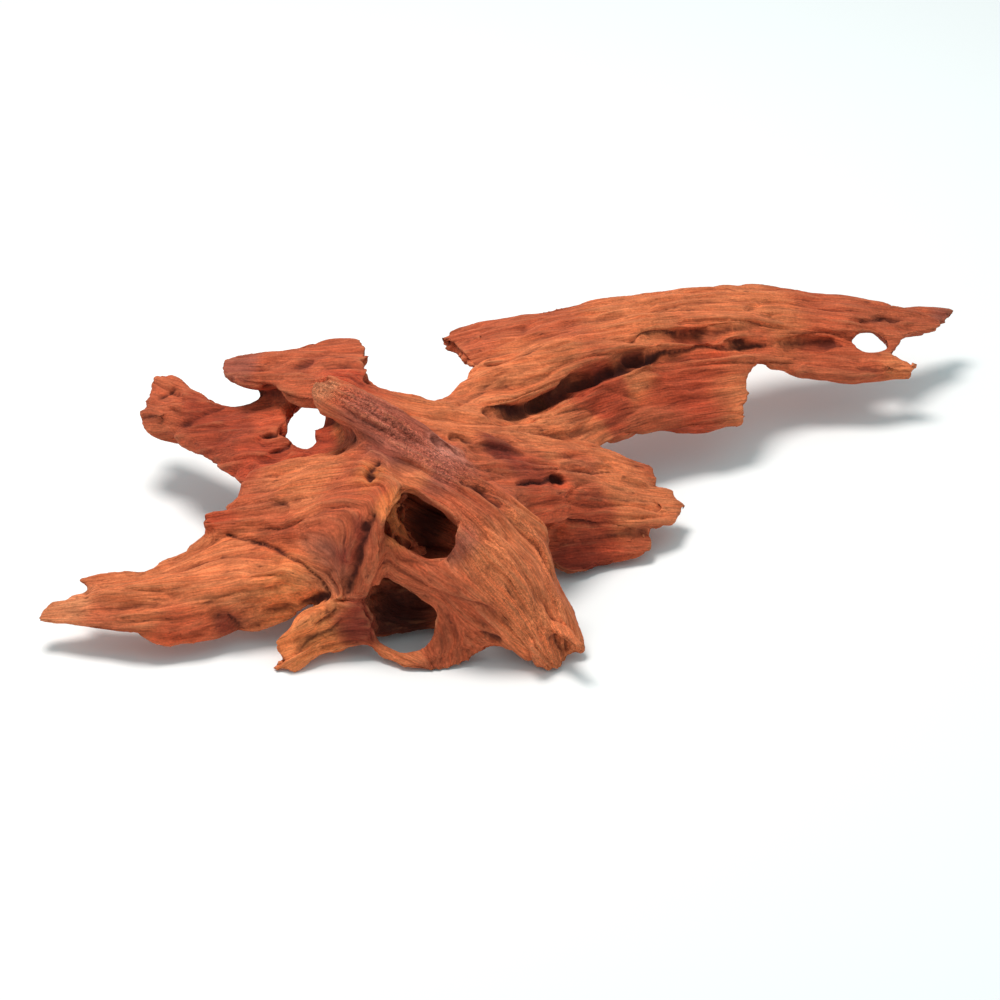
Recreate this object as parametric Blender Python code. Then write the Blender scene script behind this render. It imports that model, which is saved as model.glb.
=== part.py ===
"""A weathered piece of teak root wood that lies on its own low points.

The piece is drawn in the view that shows it best: from the front, and 30 degrees above. Each point
is given by its place in that drawing, in steps across and down, and by its height over the ground
in millimetres.
"""

import itertools
import math

import bmesh
import bpy
import numpy as np

# The drawing, and its real size.
STEP = 0.00049  # one step of the drawing, in metres, at the middle of the piece
MIDDLE = (500, 500)  # the middle of the drawing, in steps across and down
AIM = np.array([0.0, 0.116, 0.030])  # the point that the middle of the drawing shows
EYE_DISTANCE = 2.0
VIEW_TILT = math.radians(30)
MM = 0.001

# How finely the wood is worked.
BOARD_GRID = 3.0  # steps between the points of a flat board
BOARD_HALF = 10.0  # half the thickness of a flat board, in steps, before it is bent
RIM_GROWTH = 2.5  # steps that a board gains all round, to make up for what rounding takes
RIM_HALF = 1.6 * MM  # half the thickness along a broken edge
WANDER = 0.7 * MM  # how far the surface of a board strays
WANDER_LENGTH = 6 * MM
SPLINE_UNIT = 100  # steps
SPLINE_EASE = 0.02  # how far a board's surface may miss a height that stands out
FUSE_GRID = 1.5 * MM
FILLET_ROUNDS = 12  # how often the inner corners are filled a little further
MOST_TRIANGLES = 11400
RIDGE_RISE = 3.2 * MM  # the height of the weathered ridges
RIDGE_WIDTH = 10 * MM
RIDGE_LENGTH = 70 * MM
FINE_RIDGES = 1.9  # how much closer the second set of ridges lies
FINE_SHARE = 0.8
FINE_MIDDLE = 0.3  # about the mean of the second set, so that the wood neither gains nor shrinks
GRAIN_NEAR = 10 * MM  # within this distance of a grain mark, its direction rules alone
GRAIN_FADE = 4
FACING_GAIN = 1.5  # furrows reach full depth where the wood faces the drawing this clearly
TAPER = 22.0  # steps over which a furrow narrows to its ends
TAPER_END = 0.3
CUT_SLACK = 1e-7
SHARP_ANGLE = math.radians(50)

# Whole numbers that scatter the corners of the noise.
SCATTER = np.array([73856093, 19349663, 83492791])
SCATTER_SEED = 374761393
SCATTER_MIX = 1274126177
SCATTER_MASK = 0xFFFFFFFF
SCATTER_HALF = 32767.5

RIGHT = np.array([1.0, 0.0, 0.0])
UP = np.array([0.0, math.sin(VIEW_TILT), math.cos(VIEW_TILT)])
FORWARD = np.array([0.0, math.cos(VIEW_TILT), -math.sin(VIEW_TILT)])
EYE = AIM - FORWARD * EYE_DISTANCE

# Boards: the flat lobes of the piece, from their outline and a few heights of their upper surface.
# "thickness" is in millimetres, and "reach" is how many steps from its edge a board comes to it.

LONG_ARM = {
    "thickness": 22,
    "reach": 40,
    "outline": [
        (436, 338), (448, 327), (462, 322), (482, 317), (520, 311), (560, 305), (580, 299),
        (620, 294), (650, 287), (700, 283), (745, 279), (790, 283), (820, 286), (850, 292),
        (880, 295), (889, 301), (920, 302), (945, 303), (958, 309), (955, 315), (945, 318),
        (950, 324), (942, 328), (925, 329), (910, 334), (906, 342), (894, 350), (894, 357),
        (910, 360), (922, 365), (914, 369), (890, 369), (860, 372), (830, 373), (800, 371),
        (795, 365), (776, 364), (771, 358), (760, 366), (752, 375), (753, 390), (748, 400),
        (749, 418), (735, 419), (717, 428), (700, 427), (675, 428), (655, 431), (640, 433),
        (628, 436), (612, 437), (602, 444), (590, 456), (540, 470), (480, 468), (430, 440),
        (418, 410), (430, 393), (446, 385), (462, 376), (482, 361), (468, 358), (460, 348),
        (453, 340),
    ],
    "holes": [
        [(857, 333), (866, 329), (878, 328), (881, 335), (888, 343), (882, 350), (868, 351),
         (859, 346)],
    ],
    "heights": [
        (436, 338, 70), (482, 318, 72), (560, 306, 72), (650, 289, 67), (745, 281, 60),
        (850, 294, 48), (957, 310, 33), (482, 345, 77), (560, 335, 78), (650, 312, 73),
        (745, 303, 66), (850, 312, 51), (520, 395, 71), (600, 365, 66), (680, 343, 60),
        (760, 333, 54), (850, 335, 42), (560, 430, 52), (640, 428, 34), (700, 422, 31),
        (745, 412, 30), (690, 385, 44), (740, 380, 41), (800, 366, 35), (880, 362, 34),
        (920, 365, 31), (450, 415, 80), (480, 450, 72), (600, 442, 40),
    ],
}

UPPER_FLAP = {
    "thickness": 18,
    "reach": 26,
    "outline": [
        (217, 362), (221, 355), (235, 351), (262, 351), (282, 345), (310, 341), (330, 337),
        (346, 336), (362, 337), (368, 341), (369, 347), (374, 352), (364, 353), (362, 357),
        (367, 362), (372, 368), (367, 372), (370, 378), (390, 385), (405, 389), (425, 392),
        (450, 396), (500, 425), (500, 450), (450, 455), (390, 440), (340, 420), (321, 402),
        (304, 397), (288, 393), (272, 387), (257, 380), (243, 377), (230, 374), (221, 369),
    ],
    "heights": [
        (222, 362, 72), (262, 352, 78), (280, 365, 81), (262, 384, 74), (340, 338, 86),
        (368, 350, 89), (340, 370, 92), (310, 400, 82), (390, 388, 88), (430, 395, 84),
        (400, 430, 88), (450, 415, 82), (490, 440, 71),
    ],
}

BACK_LOBE = {
    "thickness": 18,
    "reach": 20,
    "outline": [
        (140, 426), (139, 417), (136, 411), (142, 407), (140, 399), (148, 395), (150, 384),
        (153, 375), (161, 370), (177, 370), (183, 378), (191, 383), (199, 392), (208, 393),
        (214, 400), (230, 403), (243, 402), (254, 400), (266, 395), (285, 386), (310, 388),
        (332, 396), (327, 410), (322, 421), (313, 426), (309, 436), (306, 444), (300, 448),
        (294, 444), (291, 435), (284, 434), (274, 430), (279, 421), (287, 416), (286, 406),
        (294, 397), (315, 400), (340, 408), (365, 440), (360, 480), (300, 495), (250, 492),
        (237, 481), (223, 474), (213, 467), (200, 459), (186, 450), (177, 441), (165, 439),
        (153, 437),
    ],
    "heights": [
        (142, 420, 38), (142, 400, 43), (165, 372, 51), (198, 394, 52), (240, 402, 54),
        (290, 392, 64), (165, 405, 50), (200, 420, 52), (165, 437, 35), (200, 457, 39),
        (236, 480, 46), (260, 430, 62), (300, 450, 62), (345, 415, 78), (345, 450, 74),
        (300, 480, 60),
    ],
}

FAN = {
    "thickness": 16,
    "reach": 26,
    "outline": [
        (197, 526), (199, 514), (203, 509), (213, 508), (224, 506), (233, 498), (237, 490),
        (239, 481), (250, 466), (300, 452), (345, 440), (380, 450), (400, 480), (395, 500),
        (384, 520), (378, 560), (368, 595), (345, 603), (336, 592), (325, 583), (312, 571),
        (300, 561), (288, 551), (272, 546), (258, 541), (240, 536), (222, 533), (214, 530),
        (216, 525),
    ],
    "heights": [
        (200, 518, 47), (238, 485, 54), (216, 528, 44), (258, 540, 42), (300, 480, 68),
        (300, 520, 60), (300, 560, 40), (250, 510, 52), (345, 450, 80), (350, 480, 78),
        (350, 520, 68), (345, 560, 50), (345, 600, 28), (378, 480, 84), (376, 530, 66),
        (370, 580, 42),
    ],
}

BLADE = {
    "thickness": 15,
    "reach": 30,
    "outline": [
        (34, 620), (34, 611), (42, 604), (55, 598), (68, 592), (82, 588), (100, 587), (99, 582),
        (76, 578), (78, 575), (90, 574), (105, 572), (120, 569), (146, 568), (156, 563), (160, 558),
        (178, 553), (182, 546), (198, 538), (212, 533), (235, 515), (275, 515), (320, 545),
        (350, 575), (345, 596), (330, 600), (318, 607), (305, 613), (294, 619), (272, 627),
        (255, 633), (240, 634), (230, 639), (218, 643), (200, 646), (180, 649), (165, 651),
        (152, 649), (130, 642), (110, 637), (90, 632), (70, 624), (52, 620),
    ],
    "heights": [
        (38, 615, 19), (85, 578, 27), (98, 588, 27), (150, 567, 33), (210, 535, 39),
        (165, 649, 10), (95, 631, 15), (240, 633, 9), (120, 608, 25), (180, 600, 30),
        (240, 585, 35), (260, 545, 42), (300, 580, 38), (320, 605, 23), (330, 565, 44),
        (290, 620, 14),
    ],
}

FRONT_FOOT = {
    "thickness": 11,
    "reach": 20,
    "outline": [
        (273, 667), (280, 659), (278, 650), (275, 645), (283, 640), (291, 637), (297, 628),
        (301, 621), (312, 618), (320, 611), (328, 602), (345, 596), (358, 600), (370, 616),
        (373, 632), (368, 647), (350, 649), (332, 652), (318, 653), (306, 657), (296, 664),
        (290, 671), (283, 674), (276, 672),
    ],
    "heights": [
        (280, 668, 3), (279, 645, 12), (300, 625, 21), (330, 604, 30), (370, 610, 26),
        (370, 640, 12), (330, 645, 9), (300, 655, 6), (325, 630, 17),
    ],
}

# The hood stands on the front edge and leans back to the ridge. Its two knot holes open into the
# hollow under it.
HOOD = {
    "thickness": 15,
    "reach": 22,
    "outline": [
        (366, 448), (395, 440), (440, 452), (480, 474), (515, 497), (545, 517), (554, 530),
        (553, 548), (558, 565), (570, 586), (581, 606), (587, 628), (589, 644), (587, 652),
        (577, 650), (573, 661), (566, 669), (555, 672), (545, 668), (538, 664), (528, 664),
        (518, 659), (508, 653), (498, 650), (490, 651), (480, 660), (465, 664), (450, 668),
        (430, 672), (415, 671), (400, 669), (390, 662), (376, 658), (371, 649), (362, 636),
        (352, 615), (352, 590), (358, 560), (362, 530), (364, 500), (362, 475),
    ],
    "holes": [
        [(381, 474), (399, 481), (416, 487), (427, 496), (442, 504), (453, 516), (456, 530),
         (452, 544), (443, 555), (430, 559), (416, 555), (403, 547), (393, 538), (384, 528),
         (381, 514), (387, 505), (382, 494)],
        [(362, 586), (372, 577), (394, 584), (406, 592), (418, 603), (433, 611), (431, 626),
         (427, 639), (415, 646), (398, 648), (382, 645), (371, 638), (374, 628), (370, 616),
         (364, 602)],
    ],
    "heights": [
        (375, 455, 86), (364, 500, 76), (360, 550, 55), (354, 600, 30), (372, 648, 8),
        (400, 668, 4), (430, 671, 3), (465, 663, 4), (498, 648, 10), (530, 663, 4),
        (556, 671, 2), (586, 650, 7), (577, 618, 18), (566, 585, 31), (555, 560, 42),
        (548, 528, 52), (515, 503, 66), (470, 473, 79), (420, 450, 88), (400, 560, 49),
        (450, 560, 54), (455, 600, 37), (505, 600, 38), (500, 550, 57), (460, 515, 72),
        (480, 640, 15), (440, 640, 15), (525, 640, 19),
    ],
}

SIDE_LOBE = {
    "thickness": 16,
    "reach": 26,
    "outline": [
        (455, 440), (500, 432), (560, 440), (600, 446), (622, 447), (628, 456), (642, 459),
        (656, 463), (660, 476), (661, 486), (675, 485), (680, 493), (683, 500), (691, 505),
        (684, 510), (680, 515), (677, 521), (650, 524), (640, 529), (620, 526), (600, 522),
        (565, 526), (530, 530), (490, 500), (460, 470),
    ],
    "heights": [
        (470, 450, 79), (520, 440, 65), (560, 443, 54), (602, 447, 42), (656, 465, 28),
        (688, 505, 15), (650, 523, 18), (600, 480, 40), (600, 520, 26), (560, 525, 33),
        (560, 500, 46), (520, 500, 59), (520, 470, 65), (630, 495, 28),
    ],
}

LOWER_LAYER = {
    "thickness": 11,
    "reach": 20,
    "outline": [
        (545, 505), (600, 505), (640, 520), (655, 533), (656, 541), (655, 547), (640, 553),
        (625, 556), (614, 562), (600, 567), (575, 573), (555, 565), (530, 530),
    ],
    "heights": [
        (560, 512, 32), (640, 522, 15), (656, 540, 11), (560, 545, 18), (600, 540, 15),
        (600, 566, 7), (575, 570, 7),
    ],
}

# The broad top of the ridge, which ends bluntly over the left lobes.
RIDGE_TOP = {
    "thickness": 15,
    "reach": 12,
    "outline": [
        (307, 385), (311, 377), (319, 374), (327, 370), (338, 375), (352, 379), (366, 388),
        (383, 397), (402, 408), (430, 427), (463, 450), (496, 476), (500, 492), (470, 486),
        (432, 476), (410, 464), (388, 448), (370, 437), (350, 425), (334, 415), (317, 408),
        (311, 396),
    ],
    "heights": [
        (311, 381, 105), (330, 374, 107), (318, 404, 98), (352, 383, 107), (350, 421, 94),
        (400, 410, 100), (390, 445, 87), (463, 454, 83), (430, 472, 78), (495, 482, 72),
        (340, 396, 104), (385, 420, 97), (430, 450, 88),
    ],
}

BOARDS = [
    LONG_ARM, UPPER_FLAP, BACK_LOBE, FAN, BLADE, FRONT_FOOT, HOOD, SIDE_LOBE, LOWER_LAYER,
    RIDGE_TOP,
]

# Roots: round lengths of wood. Each station is across, down, height of its middle and radius.
ROOTS = {
    "ridge": [
        (330, 391, 95, 8), (348, 405, 92, 10.5), (382, 428, 86, 11.5), (418, 452, 79, 12.5),
        (452, 482, 70, 13), (492, 510, 60, 12), (522, 535, 48, 12), (535, 560, 37, 12),
        (548, 595, 23, 11), (562, 630, 12, 8),
    ],
    "heartwood": [
        (345, 434, 62, 15), (400, 436, 60, 16), (450, 450, 59, 20), (500, 470, 50, 19),
        (540, 495, 36, 15), (566, 525, 24, 11),
    ],
    "inner_wall": [(365, 490, 54, 12), (415, 515, 41, 14), (465, 540, 30, 14), (530, 550, 22, 12)],
    "inner_wall_low": [
        (352, 545, 30, 9), (400, 556, 26, 12), (460, 568, 21, 13), (530, 564, 18, 12),
    ],
    "knot_lump": [(383, 492, 67, 3.5), (391, 499, 63, 5), (389, 511, 57, 4)],
    "knot_lump_low": [(388, 528, 51, 4.5), (398, 540, 47, 6), (413, 550, 43, 4)],
    "inner_sill": [(350, 585, 24, 10), (395, 592, 18, 12), (450, 585, 14, 13), (530, 580, 14, 12)],
    "inner_foot": [(362, 622, 8, 8), (388, 627, 8, 8.5), (412, 620, 9, 8), (510, 602, 10, 10)],
    "arm_rib": [
        (440, 425, 62, 12), (500, 395, 58, 13), (570, 360, 57, 13), (650, 333, 54, 11),
        (730, 320, 49, 9), (800, 318, 41, 7), (850, 316, 35, 5),
    ],
    "flap_rib": [(240, 366, 67, 5), (290, 369, 71, 8), (350, 388, 72, 11), (410, 422, 68, 13)],
    "left_rib": [
        (150, 404, 33, 5), (174, 408, 34, 9), (215, 426, 38, 10), (262, 456, 41, 9),
        (330, 474, 50, 12),
    ],
    "fan_rib": [(225, 513, 40, 5), (265, 507, 44, 8), (310, 498, 52, 10), (360, 478, 60, 12)],
    "blade_rib": [
        (90, 608, 15, 4), (150, 606, 18, 7), (220, 592, 22, 9), (290, 566, 30, 11),
        (345, 535, 42, 12),
    ],
    "side_rib": [(490, 470, 52, 14), (545, 478, 39, 12), (600, 492, 25, 9), (645, 500, 16, 6)],
    "back_root": [(490, 440, 52, 16), (522, 452, 36, 13), (545, 470, 14, 11), (552, 484, -3, 11)],
    "back_root_right": [
        (530, 434, 48, 13), (564, 446, 30, 9), (586, 458, 16, 6), (598, 465, 9, 3),
    ],
    "back_root_left": [
        (505, 452, 42, 13), (522, 472, 22, 9), (528, 488, 9, 7), (530, 497, 2, 4),
    ],
    "left_back_root": [
        (376, 446, 56, 15), (374, 468, 34, 11), (367, 494, 14, 9), (360, 512, -3, 11),
    ],
    "left_back_root_left": [
        (345, 448, 56, 12), (346, 470, 32, 9), (338, 486, 18, 6), (330, 494, 11, 3),
    ],
    "left_back_root_right": [
        (404, 452, 48, 13), (394, 476, 24, 10), (389, 498, 9, 8), (388, 508, 2, 5),
    ],
    "side_root": [(556, 520, 26, 11), (578, 545, 12, 10), (592, 560, 3, 9)],
    "front_toe": [(530, 640, 18, 7), (545, 657, 8, 7), (554, 664, 3, 7)],
    "front_stub": [(496, 632, 12, 6), (506, 651, 5, 4.5)],
    "left_toe": [(320, 636, 12, 6), (300, 652, 7, 6), (285, 665, 3, 6)],
    "knot_post": [(360, 570, 34, 6), (366, 595, 22, 6), (378, 636, 6, 6)],
}

# Furrows and cracks in the upper side: half width in steps, depth in millimetres, points.
FURROWS = [
    (7, 11, [(492, 408), (508, 409), (522, 409), (548, 398), (575, 384), (600, 371), (625, 361),
             (656, 353)]),
    (4.5, 5, [(640, 357), (690, 348), (725, 347), (768, 341)]),
    (4.5, 5, [(780, 344), (812, 341), (842, 340)]),
    (4, 4, [(632, 339), (655, 334), (680, 335), (720, 329), (765, 324)]),
    (4, 3, [(868, 318), (885, 317), (902, 318)]),
    (4, 3, [(482, 361), (505, 354), (530, 346)]),
    (6, 5, [(454, 434), (475, 440), (500, 446), (530, 451)]),
    (4, 3, [(235, 366), (265, 366), (290, 363), (318, 357)]),
    (5, 3, [(288, 363), (302, 362), (312, 365)]),
    (4, 3, [(318, 372), (345, 362), (368, 359)]),
    (5, 5, [(158, 392), (168, 390), (178, 384)]),
    (5, 4, [(142, 416), (152, 415), (165, 410)]),
    (4, 4, [(170, 424), (195, 416), (225, 405), (250, 400)]),
    (4, 3, [(190, 440), (210, 434), (235, 428)]),
    (4, 5, [(250, 438), (266, 432), (280, 428)]),
    (4, 5, [(258, 455), (276, 449), (294, 440)]),
    (5, 4, [(322, 432), (334, 442), (346, 450)]),
    (4, 5, [(374, 506), (367, 524), (361, 544), (355, 564), (349, 584), (345, 606)]),
    (4, 3.5, [(338, 375), (366, 391), (402, 411), (440, 436), (468, 458)]),
    (4, 4, [(374, 462), (368, 474)]),
    (4, 2.5, [(268, 503), (280, 498), (300, 496)]),
    (3, 2, [(230, 512), (265, 512), (300, 508), (335, 505)]),
    (3, 2, [(150, 594), (172, 589), (190, 585)]),
    (4, 2.5, [(60, 608), (90, 602), (130, 596)]),
    (4, 3, [(236, 612), (234, 624), (240, 634)]),
    (4, 3, [(318, 628), (330, 624), (345, 618)]),
    (4, 5, [(460, 478), (480, 488), (498, 500), (510, 506)]),
    (4, 4, [(340, 424), (356, 444), (366, 455), (400, 466), (430, 475)]),
    (3, 2.5, [(395, 600), (430, 598), (470, 612), (510, 618)]),
    (3, 2, [(470, 540), (500, 580), (530, 620)]),
    (4, 3, [(485, 634), (498, 642), (508, 652)]),
    (4, 5, [(522, 480), (540, 480), (558, 479)]),
    (6, 8, [(556, 478), (564, 478)]),
    (4, 3, [(465, 466), (490, 474), (515, 482)]),
    (3, 2, [(590, 460), (610, 458), (628, 460)]),
    (3, 2.5, [(570, 530), (590, 532), (600, 540)]),
]

# Run of the grain: across, down and height of a point on each limb, and the way that its grain
# runs there, in metres to the right, away and up.
GRAIN = [
    ((500, 350, 76), (1.0, 0.55, 0.05)),
    ((700, 310, 68), (1.0, 0.12, -0.10)),
    ((880, 320, 45), (1.0, 0.06, -0.16)),
    ((690, 400, 38), (1.0, 0.15, -0.04)),
    ((290, 365, 81), (1.0, -0.10, 0.12)),
    ((440, 415, 86), (1.0, -0.15, -0.15)),
    ((180, 410, 50), (1.0, -0.30, 0.12)),
    ((290, 440, 63), (1.0, -0.25, 0.22)),
    ((280, 510, 56), (1.0, 0.05, 0.20)),
    ((350, 560, 50), (0.6, -0.5, -0.7)),
    ((130, 605, 20), (1.0, 0.02, 0.12)),
    ((270, 570, 40), (1.0, 0.05, 0.12)),
    ((310, 640, 14), (1.0, 0.1, 0.45)),
    ((360, 405, 104), (0.8, -0.45, -0.15)),
    ((460, 500, 80), (0.75, -0.30, -0.55)),
    ((540, 600, 40), (0.4, -0.1, -0.9)),
    ((440, 640, 15), (0.9, 0.1, 0.15)),
    ((600, 480, 40), (1.0, 0.15, -0.38)),
    ((600, 545, 18), (1.0, 0.12, -0.25)),
    ((545, 465, 18), (0.25, 0.55, -0.8)),
    ((370, 485, 18), (-0.10, 0.40, -0.9)),
]


def place(across, down, height):
    """World points of drawn points that lie at these heights over the ground."""
    reach = (
        FORWARD * EYE_DISTANCE
        + RIGHT * ((across - MIDDLE[0]) * STEP)[:, None]
        + UP * ((MIDDLE[1] - down) * STEP)[:, None]
    )
    return EYE + reach * ((height - EYE[2]) / reach[:, 2])[:, None]


def place_one(across, down, height_mm):
    return place(np.array([across]), np.array([down]), np.array([height_mm * MM]))[0]


def drawn(points):
    """Where world points lie in the drawing, in steps across and down."""
    offset = points - EYE
    size = EYE_DISTANCE / (offset @ FORWARD) / STEP
    return MIDDLE[0] + offset @ RIGHT * size, MIDDLE[1] - offset @ UP * size


def noise(points, seed):
    """Smooth noise from -1 to 1 at an array of points, the same on every run."""
    cell = np.floor(points).astype(np.int64)
    part = points - cell
    ease = part * part * (3 - 2 * part)
    total = np.zeros(len(points))
    for corner in itertools.product((0, 1), repeat=3):
        key = (cell + corner) @ SCATTER + seed * SCATTER_SEED
        key = ((key ^ (key >> 13)) * SCATTER_MIX) & SCATTER_MASK
        value = ((key ^ (key >> 16)) & 0xFFFF) / SCATTER_HALF - 1
        total += value * np.prod(np.where(corner, ease, 1 - ease), axis=1)
    return total


def distance_to_path(across, down, path):
    """Steps from each drawn point to the nearest stretch of a path."""
    at = np.stack([across, down], axis=1)
    nearest = np.full(len(at), np.inf)
    for a, b in zip(path, path[1:], strict=False):
        start, run = np.array(a, float), np.array(b, float) - a
        share = np.clip((at - start) @ run / (run @ run), 0, 1)
        nearest = np.minimum(nearest, np.linalg.norm(at - start - share[:, None] * run, axis=1))
    return nearest


def taper(across, down, path):
    """1 along a path, and less towards the ends of one that is long enough."""
    if math.dist(path[0], path[-1]) < TAPER:
        return 1
    to_ends = [np.hypot(across - end[0], down - end[1]) for end in (path[0], path[-1])]
    return np.clip(np.minimum(*to_ends) / TAPER, TAPER_END, 1)


def surface_through(marks):
    """A smooth surface of heights, in metres, through a few marks: a thin-plate spline."""
    marks = np.array(marks, float)
    spots, heights = marks[:, :2] / SPLINE_UNIT, marks[:, 2] * MM
    count = len(marks)

    def bend(a, b):
        square = ((a[:, None] - b[None]) ** 2).sum(2)
        return square * np.log(square + 1e-12)

    system = np.zeros((count + 3, count + 3))
    system[:count, :count] = bend(spots, spots) + SPLINE_EASE * np.eye(count)
    system[:count, count:] = np.column_stack([np.ones(count), spots])
    system[count:, :count] = system[:count, count:].T
    weights = np.linalg.solve(system, np.append(heights, [0, 0, 0]))

    def height(across, down):
        at = np.column_stack([across, down]) / SPLINE_UNIT
        flat = np.column_stack([np.ones(len(at)), at]) @ weights[count:]
        return bend(at, spots) @ weights[:count] + flat

    return height


def mesh_of(obj):
    """The object's mesh with its modifiers applied. The object itself is then removed."""
    graph = bpy.context.evaluated_depsgraph_get()
    mesh = bpy.data.meshes.new_from_object(obj.evaluated_get(graph))
    bpy.data.objects.remove(obj)
    return mesh


def object_from(mesh, name):
    obj = bpy.data.objects.new(name, mesh)
    bpy.context.collection.objects.link(obj)
    return obj


def points_of(mesh, what="co"):
    """The places of a mesh's vertices, or their normals, as an array."""
    values = np.empty(len(mesh.vertices) * 3)
    mesh.vertices.foreach_get(what, values)
    return values.reshape(-1, 3)


def set_points(mesh, points):
    mesh.vertices.foreach_set("co", points.astype(np.float32).ravel())
    mesh.update()


def even_skin(mesh, grid):
    """The same shape under one closed skin of even squares, with what overlaps grown together."""
    obj = object_from(mesh, "even")
    skin = obj.modifiers.new("skin", "REMESH")
    skin.mode = "VOXEL"
    skin.voxel_size = grid
    return mesh_of(obj)


def flat_board(outline, holes):
    """A flat slab of the drawn outline, evenly meshed, in steps."""
    shape = bmesh.new()
    for loop in (outline, *holes):
        corners = [shape.verts.new((across, -down, -BOARD_HALF)) for across, down in loop]
        for i, corner in enumerate(corners):
            shape.edges.new((corners[i - 1], corner))
    bmesh.ops.triangle_fill(shape, edges=shape.edges[:], use_beauty=True)
    grown = bmesh.ops.extrude_face_region(shape, geom=shape.faces[:])["geom"]
    lifted = [v for v in grown if isinstance(v, bmesh.types.BMVert)]
    bmesh.ops.translate(shape, verts=lifted, vec=(0, 0, 2 * BOARD_HALF))
    bmesh.ops.recalc_face_normals(shape, faces=shape.faces[:])
    mesh = bpy.data.meshes.new("board")
    shape.to_mesh(mesh)
    shape.free()
    return even_skin(mesh, BOARD_GRID)


def bent_board(board, seed):
    """The board bent to its heights, thick in the middle and thin along its broken edges."""
    holes = board.get("holes", [])
    mesh = flat_board(board["outline"], holes)
    flat = points_of(mesh)
    flat[:, :2] += points_of(mesh, "normal")[:, :2] * RIM_GROWTH
    across, down = flat[:, 0], -flat[:, 1]
    loops = [[*loop, loop[0]] for loop in (board["outline"], *holes)]
    edge = np.min([distance_to_path(across, down, loop) for loop in loops], axis=0)
    inward = np.clip(edge / board["reach"], 0, 1)
    half = RIM_HALF + (board["thickness"] / 2 * MM - RIM_HALF) * np.sqrt(inward * (2 - inward))
    surface = surface_through(board["heights"])

    def upper(a, d):
        return place(a, d, surface(a, d))

    normal = np.cross(
        upper(across + 1, down) - upper(across - 1, down),
        upper(across, down - 1) - upper(across, down + 1),
    )
    normal /= np.linalg.norm(normal, axis=1)[:, None]
    level = np.clip(flat[:, 2] / BOARD_HALF, -1, 1)
    points = upper(across, down) + normal * ((level - 1) * half)[:, None]
    wander = np.column_stack([noise(points / WANDER_LENGTH, seed + i) for i in range(3)])
    set_points(mesh, points + wander * WANDER)
    return object_from(mesh, f"board_{seed}")


def round_root(name, stations):
    """A round length of wood through its stations."""
    curve = bpy.data.curves.new(name, "CURVE")
    curve.dimensions = "3D"
    curve.bevel_depth = 1.0
    curve.bevel_resolution = 4
    curve.use_fill_caps = True
    line = curve.splines.new("NURBS")
    line.points.add(len(stations) - 1)
    line.use_endpoint_u = True
    line.order_u = 3
    line.resolution_u = 6
    for point, (across, down, height, radius) in zip(line.points, stations, strict=True):
        point.co = (*place_one(across, down, height), 1)
        point.radius = radius * MM
    root = bpy.data.objects.new(name, curve)
    bpy.context.collection.objects.link(root)
    return object_from(mesh_of(root), name)


def joined(pieces):
    """One mesh that holds the meshes of all the pieces, still lying in each other."""
    shape = bmesh.new()
    for piece in pieces:
        shape.from_mesh(piece.data)
        bpy.data.objects.remove(piece)
    mesh = bpy.data.meshes.new("joined")
    shape.to_mesh(mesh)
    shape.free()
    return mesh


def fill_inner_corners(mesh):
    """Grows wood into the inner corners, so that the limbs flow into each other."""
    edges = np.empty(len(mesh.edges) * 2, dtype=np.int64)
    mesh.edges.foreach_get("vertices", edges)
    ends = edges.reshape(-1, 2)
    near, far = np.concatenate([ends, ends[:, ::-1]]).T
    count = np.bincount(near, minlength=len(mesh.vertices))
    points = points_of(mesh)
    for _ in range(FILLET_ROUNDS):
        total = [np.bincount(near, points[far, i], len(points)) for i in range(3)]
        pull = np.column_stack(total) / count[:, None] - points
        normals = points_of(mesh, "normal")
        rise = np.maximum((pull * normals).sum(1), 0)
        points = points + normals * rise[:, None]
        set_points(mesh, points)


def cut_furrows(mesh):
    """Sinks the cracks and furrows into the side of the wood that the drawing shows."""
    points, normals = points_of(mesh), points_of(mesh, "normal")
    across, down = drawn(points)
    depth = np.zeros(len(points))
    for half_width, deepest, path in FURROWS:
        away = distance_to_path(across, down, path)
        width = half_width * taper(across, down, path)
        depth = np.maximum(depth, deepest * MM * np.exp(-((away / width) ** 2)))
    facing = np.clip(-(normals @ FORWARD) * FACING_GAIN, 0, 1)
    set_points(mesh, points - normals * (depth * facing)[:, None])


def weather(mesh):
    """Raises ridges along the grain, from stretched noise that turns from limb to limb."""
    points = points_of(mesh)
    total, shares = np.zeros(len(points)), np.zeros(len(points))
    for seed, (spot, way) in enumerate(GRAIN):
        along = np.array(way) / np.linalg.norm(way)
        beside = np.cross([0, 0, 1], along)
        beside /= np.linalg.norm(beside)
        offset = points - place_one(*spot)
        share = 1 / (GRAIN_NEAR + np.linalg.norm(offset, axis=1)) ** GRAIN_FADE
        frame = np.column_stack([
            offset @ along / RIDGE_LENGTH,
            offset @ beside / RIDGE_WIDTH,
            offset @ np.cross(along, beside) / RIDGE_WIDTH,
        ])
        fine = np.abs(noise(frame * FINE_RIDGES, seed + len(GRAIN))) - FINE_MIDDLE
        total += share * (noise(frame, seed) - FINE_SHARE * fine)
        shares += share
    set_points(mesh, points + points_of(mesh, "normal") * (RIDGE_RISE * total / shares)[:, None])


def keep_largest_body(shape):
    """Drops any loose scrap, so that one closed body is left."""
    left, bodies = set(shape.verts), []
    while left:
        reached = {left.pop()}
        front = list(reached)
        while front:
            for edge in front.pop().link_edges:
                fresh = {*edge.verts} - reached
                reached |= fresh
                front.extend(fresh)
        left -= reached
        bodies.append(reached)
    keep = max(bodies, key=len)
    bmesh.ops.delete(shape, geom=[v for v in shape.verts if v not in keep], context="VERTS")


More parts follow.
